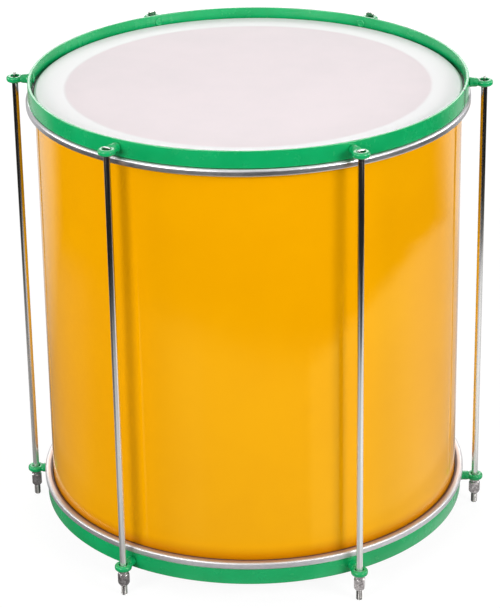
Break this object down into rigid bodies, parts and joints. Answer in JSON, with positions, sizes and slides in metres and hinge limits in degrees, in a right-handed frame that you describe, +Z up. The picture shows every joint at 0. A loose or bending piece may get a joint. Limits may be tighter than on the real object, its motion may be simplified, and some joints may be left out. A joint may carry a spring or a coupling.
{
  "type": "surdo",
  "caption": "Large samba bass drum: metal shell, film heads on flesh hoops, counter hoops with eye lugs, and tension rods with tuning nuts; it stands on the rod ends.",
  "frame": {"origin": "middle of the circle of rod ends that the drum stands on, on the floor", "axes": "+Z up along the drum's axis; +X from the axis towards tension station 1"},
  "size_m": [0.5218, 0.476, 0.5149],
  "materials": {
    "shell_lacquer": "high gloss yellow lacquer",
    "hoop_enamel": "semi-gloss green enamel",
    "head_film": "white drumhead film with a satin coating inside a clear-coated rim band",
    "flesh_hoop_aluminium": "bright rolled aluminium",
    "edge_wire": "plain drawn steel wire",
    "rod_steel": "bright zinc plating on drawn rod, rolled thread at the foot",
    "nut_steel": "dull zinc-plated machined steel"
  },
  "bodies": {
    "drum": {"shell": "shell_lacquer", "top_edge_wire": "edge_wire", "top_head": "head_film", "top_flesh_hoop": "flesh_hoop_aluminium", "top_hoop": "hoop_enamel", "top_lug_1": "hoop_enamel", "top_lug_2": "hoop_enamel", "top_lug_3": "hoop_enamel", "top_lug_4": "hoop_enamel", "top_lug_5": "hoop_enamel", "top_lug_6": "hoop_enamel", "bottom_edge_wire": "edge_wire", "bottom_head": "head_film", "bottom_flesh_hoop": "flesh_hoop_aluminium", "bottom_hoop": "hoop_enamel", "bottom_lug_1": "hoop_enamel", "bottom_lug_2": "hoop_enamel", "bottom_lug_3": "hoop_enamel", "bottom_lug_4": "hoop_enamel", "bottom_lug_5": "hoop_enamel", "bottom_lug_6": "hoop_enamel"},
    "rod_1": {"tension_rod_1": "rod_steel"},
    "nut_1": {"tuning_nut_1": "nut_steel"},
    "rod_2": {"tension_rod_2": "rod_steel"},
    "nut_2": {"tuning_nut_2": "nut_steel"},
    "rod_3": {"tension_rod_3": "rod_steel"},
    "nut_3": {"tuning_nut_3": "nut_steel"},
    "rod_4": {"tension_rod_4": "rod_steel"},
    "nut_4": {"tuning_nut_4": "nut_steel"},
    "rod_5": {"tension_rod_5": "rod_steel"},
    "nut_5": {"tuning_nut_5": "nut_steel"},
    "rod_6": {"tension_rod_6": "rod_steel"},
    "nut_6": {"tuning_nut_6": "nut_steel"}
  },
  "joints": [
    {"name": "nut_1_turn", "type": "hinge", "parent": "drum", "child": "nut_1", "pos_m": [0.2517, 0, 0.0212], "axis": [0, 0, -1], "range_deg": [0, 4321]},
    {"name": "rod_1_rise", "type": "slide", "parent": "drum", "child": "rod_1", "axis": [0, 0, 1], "range_m": [0, 0.012]},
    {"name": "nut_2_turn", "type": "hinge", "parent": "drum", "child": "nut_2", "pos_m": [0.12585, 0.21798, 0.0212], "axis": [0, 0, -1], "range_deg": [0, 4321]},
    {"name": "rod_2_rise", "type": "slide", "parent": "drum", "child": "rod_2", "axis": [0, 0, 1], "range_m": [0, 0.012]},
    {"name": "nut_3_turn", "type": "hinge", "parent": "drum", "child": "nut_3", "pos_m": [-0.12585, 0.21798, 0.0212], "axis": [0, 0, -1], "range_deg": [0, 4321]},
    {"name": "rod_3_rise", "type": "slide", "parent": "drum", "child": "rod_3", "axis": [0, 0, 1], "range_m": [0, 0.012]},
    {"name": "nut_4_turn", "type": "hinge", "parent": "drum", "child": "nut_4", "pos_m": [-0.2517, 0, 0.0212], "axis": [0, 0, -1], "range_deg": [0, 4321]},
    {"name": "rod_4_rise", "type": "slide", "parent": "drum", "child": "rod_4", "axis": [0, 0, 1], "range_m": [0, 0.012]},
    {"name": "nut_5_turn", "type": "hinge", "parent": "drum", "child": "nut_5", "pos_m": [-0.12585, -0.21798, 0.0212], "axis": [0, 0, -1], "range_deg": [0, 4321]},
    {"name": "rod_5_rise", "type": "slide", "parent": "drum", "child": "rod_5", "axis": [0, 0, 1], "range_m": [0, 0.012]},
    {"name": "nut_6_turn", "type": "hinge", "parent": "drum", "child": "nut_6", "pos_m": [0.12585, -0.21798, 0.0212], "axis": [0, 0, -1], "range_deg": [0, 4321]},
    {"name": "rod_6_rise", "type": "slide", "parent": "drum", "child": "rod_6", "axis": [0, 0, 1], "range_m": [0, 0.012]}
  ],
  "couplings": [
    {"joint": "nut_1_turn", "follows": "rod_1_rise", "rad_per_m": 6283.2},
    {"joint": "nut_2_turn", "follows": "rod_2_rise", "rad_per_m": 6283.2},
    {"joint": "nut_3_turn", "follows": "rod_3_rise", "rad_per_m": 6283.2},
    {"joint": "nut_4_turn", "follows": "rod_4_rise", "rad_per_m": 6283.2},
    {"joint": "nut_5_turn", "follows": "rod_5_rise", "rad_per_m": 6283.2},
    {"joint": "nut_6_turn", "follows": "rod_6_rise", "rad_per_m": 6283.2}
  ]
}
